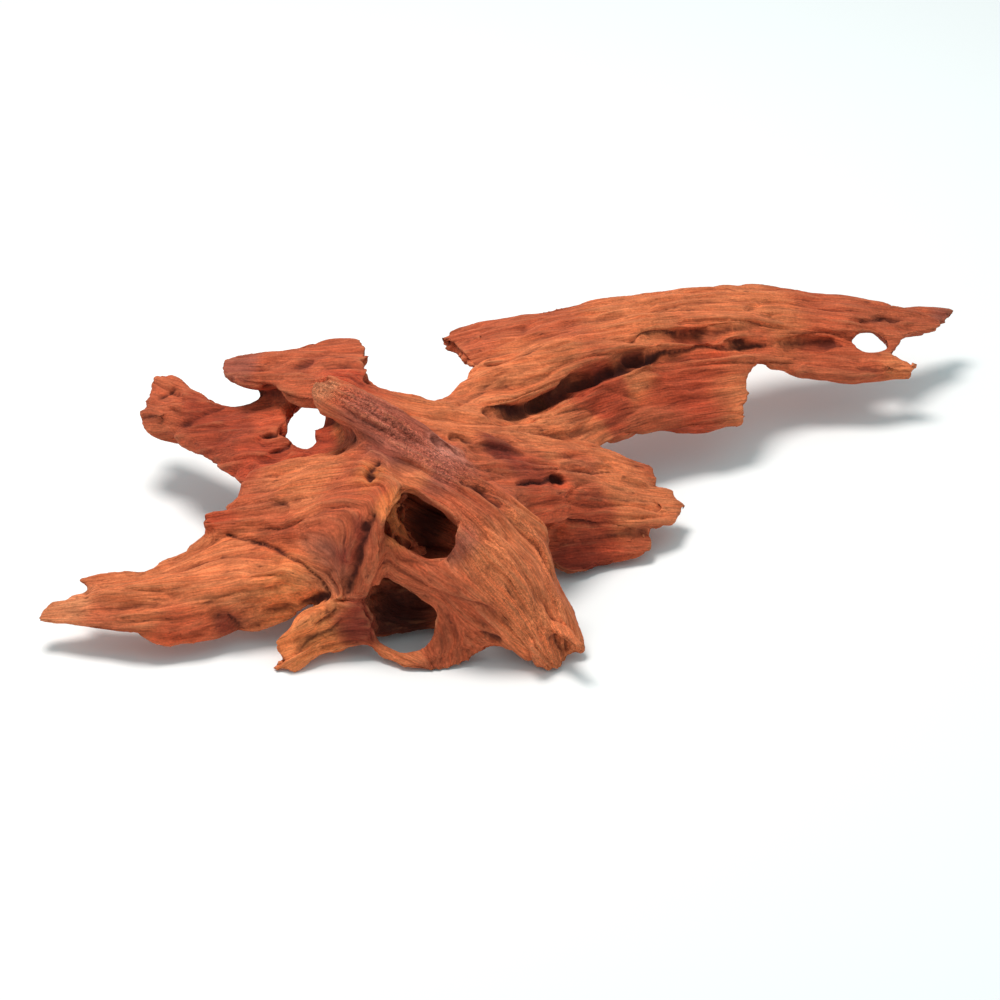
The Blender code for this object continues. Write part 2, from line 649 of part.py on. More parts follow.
def thinned(mesh):
    """The same skin with fewer faces: large where it is even, small where it is broken."""
    obj = object_from(mesh, "thinned")
    fewer = obj.modifiers.new("fewer", "DECIMATE")
    fewer.ratio = MOST_TRIANGLES / (2 * len(mesh.polygons))
    fewer.use_collapse_triangulate = True
    return mesh_of(obj)


def flatten_underside(mesh):
    """Cuts the low points off level with the ground."""
    shape = bmesh.new()
    shape.from_mesh(mesh)
    keep_largest_body(shape)
    bmesh.ops.bisect_plane(
        shape, geom=[*shape.verts, *shape.edges, *shape.faces], dist=CUT_SLACK,
        plane_co=(0, 0, 0), plane_no=(0, 0, -1), clear_outer=True,
    )
    bmesh.ops.holes_fill(shape, edges=[e for e in shape.edges if e.is_boundary])
    bmesh.ops.triangulate(shape, faces=shape.faces[:])
    bmesh.ops.recalc_face_normals(shape, faces=shape.faces[:])
    shape.to_mesh(mesh)
    shape.free()


def wood():
    """Weathered teak: red-brown, dry and dull."""
    material = bpy.data.materials.new("weathered_teak")
    material.use_nodes = True
    surface = material.node_tree.nodes["Principled BSDF"]
    surface.inputs["Base Color"].default_value = (0.40, 0.13, 0.055, 1)
    surface.inputs["Roughness"].default_value = 0.78
    surface.inputs["Metallic"].default_value = 0.0
    return material


def main():
    for obj in list(bpy.data.objects):
        bpy.data.objects.remove(obj)
    pieces = [bent_board(board, seed) for seed, board in enumerate(BOARDS)]
    pieces += [round_root(name, stations) for name, stations in ROOTS.items()]
    mesh = even_skin(joined(pieces), FUSE_GRID)
    fill_inner_corners(mesh)
    cut_furrows(mesh)
    weather(mesh)
    mesh = thinned(even_skin(mesh, FUSE_GRID))
    flatten_underside(mesh)
    mesh.materials.append(wood())
    mesh.shade_smooth()
    mesh.set_sharp_from_angle(angle=SHARP_ANGLE)
    teak = object_from(mesh, "teak_wood")
    corners = points_of(mesh)
    low, high = corners.min(axis=0), corners.max(axis=0)
    teak.location = (*(-(low + high) / 2)[:2], -low[2])


main()
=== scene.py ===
import math

import bmesh
import bpy
import numpy as np
from mathutils import Matrix, Vector, noise
from mathutils.bvhtree import BVHTree


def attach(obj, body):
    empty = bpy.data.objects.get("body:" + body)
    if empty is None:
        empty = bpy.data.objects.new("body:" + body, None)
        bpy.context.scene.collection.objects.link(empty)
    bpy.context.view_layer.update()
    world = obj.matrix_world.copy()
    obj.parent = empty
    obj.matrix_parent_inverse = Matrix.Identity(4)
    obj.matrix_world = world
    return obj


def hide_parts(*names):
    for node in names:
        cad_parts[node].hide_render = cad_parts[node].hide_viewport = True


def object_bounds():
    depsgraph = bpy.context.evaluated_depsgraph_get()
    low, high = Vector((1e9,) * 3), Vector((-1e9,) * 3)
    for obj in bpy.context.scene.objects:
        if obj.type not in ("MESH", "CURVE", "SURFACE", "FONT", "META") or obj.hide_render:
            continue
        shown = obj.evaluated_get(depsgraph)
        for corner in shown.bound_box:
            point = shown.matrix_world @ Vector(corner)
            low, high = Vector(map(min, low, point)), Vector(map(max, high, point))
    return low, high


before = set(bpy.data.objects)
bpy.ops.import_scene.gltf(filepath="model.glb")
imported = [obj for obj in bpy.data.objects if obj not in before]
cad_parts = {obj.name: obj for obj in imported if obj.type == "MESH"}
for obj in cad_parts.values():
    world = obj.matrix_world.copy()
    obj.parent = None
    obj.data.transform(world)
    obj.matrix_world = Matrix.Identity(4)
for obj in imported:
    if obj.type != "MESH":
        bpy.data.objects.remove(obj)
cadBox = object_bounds()
mm = 0.001

# The camera stands in front of the piece and looks down on it. Marks on the wood are placed in its
# picture, in steps across and down from the upper left corner, 1000 to a side.
camera = {
    "target": Vector((-0.0112, -0.0438, 0.030)),
    "distance": 2.0,
    "tilt": math.radians(30),
    "width": 0.49,  # what the picture shows at the target, in metres
    "steps": 1000,
    "sensor": 36,  # mm
    "farthest": 30,  # metres, as far as it sees
}
right = Vector((1, 0, 0))
up = Vector((0, math.sin(camera["tilt"]), math.cos(camera["tilt"])))
forward = Vector((0, math.cos(camera["tilt"]), -math.sin(camera["tilt"])))
eye = camera["target"] - forward * camera["distance"]
stepSize = camera["width"] / camera["steps"]


def sightLine(across, down):
    aim = forward * camera["distance"]
    aim += right * (across - camera["steps"] / 2) * stepSize
    aim += up * (camera["steps"] / 2 - down) * stepSize
    return aim.normalized()


def inPicture(points):
    # where points of the wood lie in the picture, in steps across and down
    offset = points - np.array(eye)
    size = camera["distance"] / (offset @ np.array(forward)) / stepSize
    across = camera["steps"] / 2 + offset @ np.array(right) * size
    return across, camera["steps"] / 2 - offset @ np.array(up) * size


def colour(red, green, blue):
    # a colour as seen on a screen, 0 to 255, as the light that it stands for
    def light(value):
        value /= 255
        return value / 12.92 if value <= 0.04045 else ((value + 0.055) / 1.055) ** 2.4

    return (light(red), light(green), light(blue))


# mesh helpers

def pointsOf(mesh, what="co"):
    values = np.empty(len(mesh.vertices) * 3)
    mesh.vertices.foreach_get(what, values)
    return values.reshape(-1, 3)


def setPoints(mesh, points):
    mesh.vertices.foreach_set("co", points.astype(np.float32).ravel())
    mesh.update()


def neighbours(mesh):
    # the two ends of every edge, and of every diagonal of a four-sided face
    edges = np.empty(len(mesh.edges) * 2, dtype=np.int64)
    mesh.edges.foreach_get("vertices", edges)
    pairs = [edges.reshape(-1, 2)]
    corners = np.empty(len(mesh.loops), dtype=np.int64)
    mesh.loops.foreach_get("vertex_index", corners)
    starts = np.empty(len(mesh.polygons), dtype=np.int64)
    mesh.polygons.foreach_get("loop_start", starts)
    sizes = np.empty(len(mesh.polygons), dtype=np.int64)
    mesh.polygons.foreach_get("loop_total", sizes)
    quads = starts[sizes == 4]
    pairs += [corners[np.column_stack([quads + i, quads + i + 2])] for i in (0, 1)]
    return np.concatenate(pairs).T


def finished(obj):
    # the mesh with its modifiers applied, in place of the object
    graph = bpy.context.evaluated_depsgraph_get()
    mesh = bpy.data.meshes.new_from_object(obj.evaluated_get(graph))
    bpy.data.objects.remove(obj)
    return mesh


def newObject(name, mesh):
    obj = bpy.data.objects.new(name, mesh)
    bpy.context.scene.collection.objects.link(obj)
    return obj


def treeOf(mesh, points):
    faces = [face.vertices[:] for face in mesh.polygons]
    return BVHTree.FromPolygons(points.tolist(), faces)


# the body: the solid's own shape, rounded and evenly meshed for carving

body = {
    "merge": 0.01 * mm,  # corners of the solid nearer than this are one
    "rounding": 2,  # levels of subdivision that round the solid's facets
    "grid": 1.25 * mm,  # size of the even mesh's faces
    "most": 196000,  # triangles that are kept
    "thinShare": 0.30,  # no mark is deeper than this share of the wood's thickness
    "thinBelow": 9 * mm,  # where the wood is thinner than this, the share falls with it,
    "leastShare": 0.3,  # down to this part of the share
    "thickest": 40 * mm,  # the thickness is measured no further,
    "inset": 0.05 * mm,  # from this far under the surface
    "feet": 12 * mm,  # below this height the wood is let down to the floor again
}
# teeth of the broken ends: root and point in the picture, half width and fall in mm
splinters = {
    "armLeft": ((474, 336), (439, 338), 7, 2),
    "armFork": ((890, 363), (919, 365), 5, 4),
    "sideEnd": ((662, 502), (688, 506), 6, 6),
    "lobeEnd": ((160, 411), (139, 411), 5, 4),
    "bladeTooth": ((104, 581), (80, 577), 4.5, 1),
    "nose": ((556, 620), (584, 649), 8, 2),
}
# crumbled wood in the knot hole: across, down, height in mm and radius in mm
lumps = {
    "top": (401, 497, 66, 3.4),
    "high": (394, 505, 65, 4.4),
    "highInner": (404, 509, 59, 3.4),
    "middle": (391, 516, 61, 4),
    "middleInner": (400, 523, 56, 3.6),
    "low": (394, 529, 55, 4.4),
    "lowInner": (404, 536, 50, 4.4),
    "lowInnerRight": (413, 544, 47, 3.8),
    "lowest": (421, 551, 43, 3.4),
}
splinterRules = {
    "sides": 6,
    "sunk": 4 * mm,  # how far its foot stands in the wood
    "under": 1.8 * mm,  # how far its middle lies below the wood's surface
    "point": 1.6 * mm,  # radius at the tip
    "flat": 0.6,  # thickness over width
}
lumpRules = {
    "detail": 3,
    "crumbs": 2.8 * mm,  # size of the noise that breaks a lump up
    "rough": 2.6 * mm,  # how far it moves the surface
}


def onWood(tree, mark):
    # the place of a mark: at its height in mm where it has one, and else on the wood that it hits
    line = sightLine(mark[0], mark[1])
    if len(mark) == 3:
        return eye + line * ((mark[2] * mm - eye.z) / line.z)
    return tree.ray_cast(eye, line)[0]


def roundedBody():
    copy = bmesh.new()
    copy.from_mesh(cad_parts["teak_wood"].data)
    bmesh.ops.remove_doubles(copy, verts=copy.verts, dist=body["merge"])
    mesh = bpy.data.meshes.new("roughBody")
    copy.to_mesh(mesh)
    copy.free()
    obj = newObject("roughBody", mesh)
    rounding = obj.modifiers.new("rounding", "SUBSURF")
    rounding.levels = body["rounding"]
    rounding.render_levels = body["rounding"]
    return finished(obj)


def addSplinters(shape, tree):
    # flat pointed slivers, sunk in the wood and almost level where they leave it
    for start, end, halfWidth, fall in splinters.values():
        root = onWood(tree, start)
        if root is None:
            continue
        root.z -= splinterRules["under"]
        line = sightLine(*end)
        point = eye + line * ((root.z - fall * mm - eye.z) / line.z)
        way = (point - root).normalized()
        root -= way * splinterRules["sunk"]
        turn = way.to_track_quat("Z", "Y").to_matrix().to_4x4()
        flatten = Matrix.Diagonal((1, splinterRules["flat"], 1, 1))
        bmesh.ops.create_cone(
            shape, cap_ends=True, segments=splinterRules["sides"],
            radius1=halfWidth * mm, radius2=splinterRules["point"], depth=(point - root).length,
            matrix=Matrix.Translation((root + point) / 2) @ turn @ flatten,
        )


def addLumps(shape, tree):
    # balls of crumbled wood, which run into each other and into the wall of the hole
    for x, y, height, radius in lumps.values():
        middle = onWood(tree, (x, y, height))
        ball = bmesh.ops.create_icosphere(
            shape, subdivisions=lumpRules["detail"], radius=radius * mm,
            matrix=Matrix.Translation(middle),
        )
        for vert in ball["verts"]:
            rise = noise.noise(vert.co / lumpRules["crumbs"]) * lumpRules["rough"]
            vert.co += (vert.co - middle).normalized() * rise


def addBrokenWood(mesh):
    tree = treeOf(mesh, pointsOf(mesh))
    shape = bmesh.new()
    shape.from_mesh(mesh)
    addSplinters(shape, tree)
    addLumps(shape, tree)
    shape.to_mesh(mesh)
    shape.free()


def evenBody(mesh):
    # one skin around everything, in faces of one size
    obj = newObject("roughBody", mesh)
    even = obj.modifiers.new("even", "REMESH")
    even.mode = "VOXEL"
    even.voxel_size = body["grid"]
    return finished(obj)


mesh = roundedBody()
addBrokenWood(mesh)
print("broken wood", len(splinters), "splinters,", len(lumps), "lumps")
mesh = evenBody(mesh)
mesh.materials.clear()
points = pointsOf(mesh)
normals = pointsOf(mesh, "normal")
near, far = neighbours(mesh)
across, down = inPicture(points)
print("body", len(mesh.polygons), "faces")


# the grain: lines along the fibres, drawn on the visible side; three numbers add a height in mm

grainLines = {
    "armBack": [(445, 334), (520, 315), (620, 299), (720, 287), (800, 291), (880, 302), (948, 308)],
    "armTop": [(470, 345), (540, 330), (620, 315), (700, 303), (780, 306), (850, 315), (930, 320)],
    "armMiddle": [(440, 396), (500, 368), (560, 352), (620, 334), (690, 320), (760, 320),
                  (845, 326)],
    "armRoot": [(430, 408), (480, 392), (540, 376), (600, 352), (650, 340), (700, 336)],
    "armCrack": [(490, 408), (540, 397), (590, 376), (640, 358), (700, 350), (770, 343),
                 (850, 343)],
    "armFlap": [(520, 415), (570, 405), (620, 388), (680, 372), (740, 362), (800, 358), (860, 362),
                (914, 364)],
    "armFlapLow": [(540, 430), (600, 418), (660, 407), (720, 398), (746, 394)],
    "armFlapEdge": [(570, 438), (612, 428), (680, 418), (744, 411)],
    "flapBack": [(225, 358), (270, 356), (320, 350), (364, 343)],
    "flapMiddle": [(230, 368), (280, 368), (330, 365), (366, 367)],
    "flapFront": [(240, 376), (300, 380), (350, 382), (400, 400), (450, 408), (520, 416)],
    "flapRun": [(440, 425), (500, 430), (560, 437), (600, 442)],
    "backLobeTop": [(154, 378), (190, 392), (230, 404), (270, 397), (300, 390)],
    "backLobeMiddle": [(142, 416), (180, 414), (220, 407), (262, 398), (295, 396)],
    "backLobeLow": [(150, 430), (190, 430), (230, 424), (278, 414)],
    "backLobeFront": [(185, 442), (230, 448), (280, 450), (340, 442)],
    "backLobeFoot": [(225, 470), (260, 465), (310, 462), (362, 456)],
    "fanTop": [(242, 485), (290, 482), (340, 478), (376, 482)],
    "fanMiddle": [(204, 516), (260, 510), (300, 500), (340, 494), (368, 500)],
    "fanLow": [(220, 528), (270, 532), (305, 530), (330, 536)],
    "fanRim": [(250, 539), (290, 552), (318, 572), (340, 596)],
    "fanKnot": [(300, 516), (320, 506), (342, 508), (352, 524), (346, 546)],
    "fanSide": [(368, 512), (358, 545), (350, 570), (346, 598)],
    "bladeBack": [(85, 577), (150, 568), (220, 545), (262, 542)],
    "bladeMiddle": [(42, 612), (100, 604), (160, 597), (220, 587), (280, 576), (318, 578)],
    "bladeLow": [(60, 618), (120, 627), (180, 629), (240, 618), (300, 607), (326, 597)],
    "bladeEdge": [(110, 634), (165, 645), (220, 639), (280, 622)],
    "footTop": [(282, 646), (310, 632), (340, 613), (360, 603)],
    "footLow": [(282, 668), (310, 652), (345, 640), (368, 640)],
    "ridgeTop": [(322, 380), (352, 390), (400, 421), (450, 454), (500, 488), (540, 522)],
    "ridgeLow": [(325, 400), (360, 430), (410, 465), (455, 490)],
    "hoodCrest": [(376, 460), (410, 476), (445, 500), (470, 530), (500, 570), (530, 620),
                  (550, 662)],
    "hoodFlank": [(480, 486), (515, 510), (545, 545), (562, 590), (578, 640)],
    "hoodMiddle": [(462, 545), (484, 578), (512, 612), (536, 645)],
    "hoodFront": [(410, 572), (440, 592), (476, 612), (508, 640)],
    "hoodWall": [(376, 484), (374, 520), (370, 556), (362, 590)],
    "hoodLip": [(440, 615), (441, 638), (428, 660)],
    "hoodLipLeft": [(380, 651), (410, 656), (430, 660)],
    "sideTop": [(470, 452), (530, 452), (600, 452), (650, 465)],
    "sideMiddle": [(480, 474), (540, 478), (600, 485), (680, 500)],
    "sideLow": [(530, 506), (580, 508), (640, 512), (680, 514)],
    "lowerLayer": [(566, 530), (610, 530), (650, 536)],
    "lowerLayerFoot": [(566, 556), (600, 551), (648, 546)],
    "backRoot": [(490, 440, 52), (522, 452, 36), (545, 470, 14), (552, 484, 0)],
    "backRootRight": [(530, 434, 48), (564, 446, 30), (586, 458, 16), (598, 465, 9)],
    "leftBackRoot": [(376, 446, 56), (374, 468, 34), (367, 494, 14), (360, 512, 0)],
    "innerFoot": [(368, 606, 9), (400, 616, 9), (445, 612, 9), (510, 602, 10)],
    "innerWall": [(365, 490, 56), (415, 515, 44), (465, 540, 32), (530, 550, 22)],
}
grainRules = {
    "spacing": 8,  # steps between the places where a line is read
    "longestHop": 30 * mm,  # a longer hop jumps to another limb
    "softness": 4 * mm,  # nearer than this, a line leads no more strongly
    "fading": 3,  # power by which its lead fades with the square of the distance
    "atOnce": 8000,  # places worked out together
    "lengthwise": 3,  # power by which a stretch that runs along the grain counts more
    "sideways": 0.06,  # how much a stretch that crosses the grain counts
    "rounds": 450,
}


def between(marks, spacing):
    # more marks along a drawn line, evenly spaced
    found = [marks[0]]
    for start, end in zip(marks, marks[1:]):
        count = max(1, round(math.dist(start[:2], end[:2]) / spacing))
        found += [
            tuple(a + (b - a) * i / count for a, b in zip(start, end)) for i in range(1, count + 1)
        ]
    return found


def readGrain(tree):
    # places along the drawn lines, laid on the wood, and the way of the grain at each
    spots, ways = [], []
    for marks in grainLines.values():
        placed = [onWood(tree, mark) for mark in between(marks, grainRules["spacing"])]
        for a, b in zip(placed, placed[1:]):
            if a is not None and b is not None and 0 < (b - a).length < grainRules["longestHop"]:
                spots.append((a + b) / 2)
                ways.append((b - a).normalized())
    return np.array(spots), np.array(ways)


def grainAt(places, spots, ways):
    # the way of the grain at each place, led by the nearest lines
    found = np.empty((len(places), 3))
    step = grainRules["atOnce"]
    for start in range(0, len(places), step):
        part = places[start:start + step]
        square = (part ** 2).sum(1)[:, None] + (spots ** 2).sum(1) - 2 * part @ spots.T
        share = 1 / (square + grainRules["softness"] ** 2) ** grainRules["fading"]
        found[start:start + step] = share @ ways
    return found / np.linalg.norm(found, axis=1)[:, None]


def grainPlaces(points, near, far, along):
    # Each point's place in the grain: how far along the fibres, and how far across them two ways.
    # Three fields are fitted to the run of the grain, with conjugate gradients.
    side = np.cross((0, 0, 1), along)
    side /= np.linalg.norm(side, axis=1)[:, None]
    frames = np.stack([along, side, np.cross(along, side)], axis=1)
    hop = points[far] - points[near]
    wanted = np.einsum("nij,nj->ni", frames[far] + frames[near], hop) / 2
    lengthwise = wanted[:, 0] ** 2 / (hop ** 2).sum(1)
    weight = (lengthwise ** grainRules["lengthwise"] + grainRules["sideways"])[:, None]
    count = len(points)

    def gathered(values):
        sums = [
            np.bincount(far, values[:, i], count) - np.bincount(near, values[:, i], count)
            for i in range(3)
        ]
        return np.column_stack(sums)

    scale = np.bincount(far, weight[:, 0], count) + np.bincount(near, weight[:, 0], count)
    scale = scale[:, None]
    place = points.copy()
    left = gathered(weight * (wanted - place[far] + place[near]))
    eased = left / scale
    way = eased.copy()
    product = (left * eased).sum(0)
    for _ in range(grainRules["rounds"]):
        pull = gathered(weight * (way[far] - way[near]))
        share = product / (way * pull).sum(0)
        place += share * way
        left -= share * pull
        eased = left / scale
        fresh = (left * eased).sum(0)
        way = eased + fresh / product * way
        product = fresh
    return place


tree = treeOf(mesh, points)
spots, ways = readGrain(tree)
along = grainAt(points, spots, ways)
grain = grainPlaces(points, near, far, along)
print("grain", len(spots), "readings")


# relief: worn ridges and fibres along the grain, then the cracks that show from a step away

reliefLayers = {  # sizes in mm; "sharp" turns soft waves into narrow grooves
    "waves": {"length": 90, "width": 12, "depth": 1.5, "sharp": 0},
    "ridges": {"length": 60, "width": 5.5, "depth": 1.2, "sharp": 0.55},
    "fibres": {"length": 34, "width": 2.6, "depth": 0.6, "sharp": 0.8},
    "splits": {"length": 55, "width": 9, "depth": 2.0, "sharp": 0.2},
}
reliefRules = {
    "apart": 17.3,  # shift in the noise from one layer to the next
    "steepness": 1.5,  # power that narrows the bottom of a sharp groove
}
# half width in steps, depth in mm, and the line
cracks = {
    "armMain": (4, 2, [(490, 407), (505, 409), (522, 411), (548, 400), (575, 387), (600, 375),
                       (630, 364), (660, 354)]),
    "armMainRight": (3, 3, [(585, 384), (605, 374), (622, 367), (640, 361), (668, 352)]),
    "armMainLeft": (3.2, 3, [(500, 410), (512, 412), (524, 410)]),
    "armUpper": (1.8, 1.8, [(630, 340), (645, 333), (665, 331), (680, 335)]),
    "armUpperThin": (1.2, 1, [(672, 336), (720, 332), (770, 323)]),
    "armLower": (1.6, 2, [(652, 355), (690, 350), (702, 346), (720, 349), (745, 346), (768, 343)]),
    "armPit": (3, 2, [(698, 346), (704, 346)]),
    "armPitRight": (2.4, 2, [(738, 342), (745, 342)]),
    "armOuter": (1.3, 1, [(780, 344), (812, 343), (844, 342)]),
    "armOuterTop": (1.5, 1.5, [(790, 333), (820, 331), (850, 334)]),
    "armEnd": (1.8, 2, [(862, 318), (880, 316), (904, 317)]),
    "armTailLow": (1.8, 2, [(858, 364), (868, 363), (878, 367)]),
    "armLeft": (1.8, 2, [(480, 361), (500, 357), (520, 350), (545, 342)]),
    "armFine": (1.3, 1.2, [(452, 407), (470, 394), (490, 385)]),
    "armFineBack": (1.2, 1, [(560, 322), (620, 311), (690, 300), (760, 296)]),
    "armFineMiddle": (1.2, 1, [(520, 372), (570, 356), (620, 343)]),
    "armFineRoot": (1.3, 1.2, [(455, 402), (480, 386), (508, 370)]),
    "flapPit": (2.4, 1.5, [(292, 364), (304, 362), (313, 358)]),
    "flapRight": (1.6, 1.5, [(322, 363), (345, 363), (368, 366)]),
    "flapRightLow": (1.6, 1.5, [(330, 370), (350, 372), (368, 379)]),
    "flapBack": (1.4, 1.2, [(300, 355), (325, 352), (360, 352)]),
    "lobeMeetsFlap": (2.2, 3, [(262, 389), (280, 393), (298, 398)]),
    "lobeEnd": (1.6, 2, [(158, 395), (168, 391), (177, 384)]),
    "lobeEndLow": (1.6, 1.8, [(139, 418), (154, 416)]),
    "lobeMiddle": (1.4, 1.5, [(166, 423), (190, 418), (210, 410), (228, 404)]),
    "lobeRight": (1.5, 2.5, [(262, 434), (280, 428)]),
    "lobeFront": (1.6, 2.5, [(268, 452), (282, 448), (296, 440)]),
    "fanNick": (2, 2, [(272, 503), (280, 501), (285, 504)]),
    "fanSide": (1.5, 2, [(374, 512), (367, 528), (361, 545), (357, 562), (351, 580), (346, 602)]),
    "fanSidePit": (2.6, 2, [(365, 525), (363, 531)]),
    "fanEdge": (1.6, 2.5, [(222, 533), (240, 537), (262, 542), (282, 551), (300, 562), (318, 578),
                           (332, 596)]),
    "hoodNick": (1.7, 3, [(368, 476), (371, 468), (376, 460)]),
    "hoodCrest": (1.5, 2.2, [(460, 478), (480, 488), (495, 500), (508, 505)]),
    "hoodFoot": (2, 2, [(480, 634), (500, 642)]),
    "hoodFine": (1.3, 1.2, [(420, 586), (450, 598), (490, 612), (515, 640)]),
    "hoodFineRight": (1.3, 1.2, [(500, 530), (525, 570), (545, 610)]),
    "sideTop": (1.6, 1.2, [(456, 434), (475, 441), (500, 447), (530, 452)]),
    "sideSlit": (1.4, 3, [(520, 481), (540, 480), (560, 478)]),
    "sideHole": (3, 5, [(557, 478), (563, 478)]),
    "sideFront": (1.6, 3, [(566, 526), (582, 525), (602, 527)]),
    "sideFine": (1.3, 1.2, [(470, 462), (520, 465), (570, 466), (620, 470)]),
    "sideFineLow": (1.3, 1.2, [(560, 492), (610, 497), (670, 500)]),
    "bladeFine": (1.5, 1.3, [(172, 588), (192, 584)]),
    "bladeFineTop": (1.3, 1.2, [(150, 572), (178, 566), (200, 560)]),
    "bladeNotch": (1.8, 2, [(231, 619), (236, 624), (243, 632)]),
    "bladeUnderFan": (2.6, 3, [(300, 607), (314, 601), (328, 592)]),
    "footDark": (2.2, 2.5, [(318, 626), (330, 618), (338, 607)]),
    "footFold": (1.5, 2, [(296, 646), (312, 638), (330, 630), (345, 618)]),
    "bladeNotchRight": (1.6, 2, [(262, 616), (285, 612), (304, 606)]),
}
crackRules = {
    "facing": 0.1,  # marks drawn in the picture reach wood that faces it by this much and more,
    "turning": 3,  # and this fast they come in past that
    "short": 18,  # steps; longer cracks taper to both ends
    "taper": (1.5, 0.12),  # how fast they widen from an end, and where they start
    "wander": (1.6, 1.0),  # steps across and down that a crack strays from its line
    "wanderLength": 5 * mm,
    "wanderShifts": (0.2, 0.5),
    "cut": (1.3, 1.2),  # reach in half widths, and the power of the slope of its sides
    "darkness": (1.5, 1.4),  # the same for the painted shade in the crack
    "darkDepth": 3,  # mm; a crack this deep is fully dark with painted shade
}
# where the fibres are broken off: across, down and reach in steps
brokenEnds = {
    "flapEnd": (362, 354, 34),
    "armLeft": (458, 348, 30),
    "armTail": (944, 316, 24),
    "armFork": (908, 365, 20),
    "armFlapEnd": (740, 400, 46),
    "sideEnd": (670, 500, 40),
    "layerEnd": (644, 540, 26),
    "lobeEnd": (152, 410, 34),
    "fanTip": (214, 518, 18),
    "nose": (574, 648, 12),
    "footEnd": (288, 658, 22),
    "hoodFoot": (500, 644, 30),
    "holeLeft": (373, 512, 30),
    "holeRight": (454, 530, 28),
    "holeLow": (420, 558, 26),
    "lowerHoleLeft": (364, 606, 26),
    "lowerHoleTop": (404, 588, 24),
}
notches = {  # across, down, reach in steps and depth in mm
    "flapEnd": (366, 357, 7, 6),
    "flapEndLow": (369, 377, 6, 4),
    "sideEnd": (677, 493, 5, 4),
    "sideEndLow": (676, 515, 6, 4),
    "armTail": (946, 319, 5, 4),
}
endRules = {
    "from": 0.35,  # how squarely a face has to cut the fibres to be an end
    "turning": 3,  # how fast it becomes one past that
    "fullness": 2,  # past 1, the middle of a broken end is ragged all through
    "length": 50,  # mm along the fibres in the noise
    "widths": {3: 7 * mm, 8: 7 * mm},  # width in mm of what broke off together, and how deep
    "shift": 91.7,
}
# weathered tops, where the fibres have turned to short fuzz: half width in steps, share, line
fuzzyTops = {
    "ridge": (17, 1.0, [(322, 385), (352, 397), (385, 420), (420, 446), (458, 470)]),
    "crest": (6, 0.7, [(456, 462), (480, 480), (508, 500), (536, 534), (552, 572), (562, 606)]),
    "face": (34, 0.45, [(470, 530), (500, 575), (530, 620), (550, 645)]),
}
fuzzRules = {
    "bumps": 1.7 * mm,
    "depth": 0.8 * mm,
    "fading": (1.6, 1.3),  # how full it is on the line, and how fast it fades in half widths
}


def toPath(across, down, path):
    # Steps from each point to the nearest stretch of a line in the picture, and how far that
    # stretch is from the line's ends: 0 at an end, 1 in the middle.
    at = np.stack([across, down], axis=1)
    nearest, middle = np.full(len(at), np.inf), np.zeros(len(at))
    whole = sum(math.dist(a, b) for a, b in zip(path, path[1:]))
    passed = 0
    for a, b in zip(path, path[1:]):
        start, run = np.array(a, float), np.array(b, float) - a
        share = np.clip((at - start) @ run / (run @ run), 0, 1)
        away = np.linalg.norm(at - start - share[:, None] * run, axis=1)
        done = (passed + share * math.dist(a, b)) / whole
        middle = np.where(away < nearest, 4 * done * (1 - done), middle)
        nearest = np.minimum(nearest, away)
        passed += math.dist(a, b)
    return nearest, middle, whole


def grainNoise(grain, length, width, shift):
    # smooth noise from -1 to 1, stretched along the fibres; lengths in mm
    places = grain / mm / (length, width, width) + shift
    return np.array([noise.noise(place) for place in places.tolist()])


def grooves(grain):
    # how deep the weather has carved, everywhere on the wood, in metres
    depth = np.zeros(len(grain))
    for shift, layer in enumerate(reliefLayers.values()):
        wave = grainNoise(grain, layer["length"], layer["width"], shift * reliefRules["apart"])
        if layer["sharp"]:
            share = np.clip(1 - np.abs(wave) / layer["sharp"], 0, 1) ** reliefRules["steepness"]
        else:
            share = np.clip(0.5 + wave, 0, 1)
        depth += share * layer["depth"] * mm
    return depth


def placeNoise(points, size):
    # smooth noise from -1 to 1, with lumps of this size in metres
    return np.array([noise.noise(place) for place in (points / size).tolist()])


def sides(away, reach, power):
    # 1 along the line of a crack, and 0 past its reach
    return np.clip(reach - away, 0, 1) ** power


def crackMarks(points, across, down, facing):
    # how deep the cracks are cut, in metres, and how much painted shade lies in them, from 0 to 1
    wobble = [
        placeNoise(points + shift, crackRules["wanderLength"])
        for shift in crackRules["wanderShifts"]
    ]
    across = across + wobble[0] * crackRules["wander"][0]
    down = down + wobble[1] * crackRules["wander"][1]
    widening, narrowest = crackRules["taper"]
    depth, crackShade = np.zeros(len(facing)), np.zeros(len(facing))
    for halfWidth, deepest, path in cracks.values():
        away, middle, whole = toPath(across, down, path)
        width = halfWidth
        if whole > crackRules["short"]:
            width = halfWidth * np.sqrt(np.clip(middle * widening, narrowest, 1))
        away = away / width
        depth = np.maximum(depth, deepest * mm * sides(away, *crackRules["cut"]))
        share = min(1, deepest / crackRules["darkDepth"])
        crackShade = np.maximum(crackShade, share * sides(away, *crackRules["darkness"]))
    return depth * facing, crackShade * facing


def fuzz(across, down, facing, points):
    # how much of the surface is weathered to fuzz, and how far its bumps rise, in metres
    full, fade = fuzzRules["fading"]
    share = np.zeros(len(points))
    for halfWidth, most, line in fuzzyTops.values():
        away = toPath(across, down, line)[0] / halfWidth
        share = np.maximum(share, most * np.clip(full - fade * away, 0, 1))
    share = share * facing
    return share, share * placeNoise(points, fuzzRules["bumps"]) * fuzzRules["depth"]


def evened(values, near, far):
    # each value drawn halfway to the average of its neighbours
    count = len(values)
    sums = np.bincount(near, values[far], count) + np.bincount(far, values[near], count)
    number = np.bincount(near, minlength=count) + np.bincount(far, minlength=count)
    return (values + sums / number) / 2


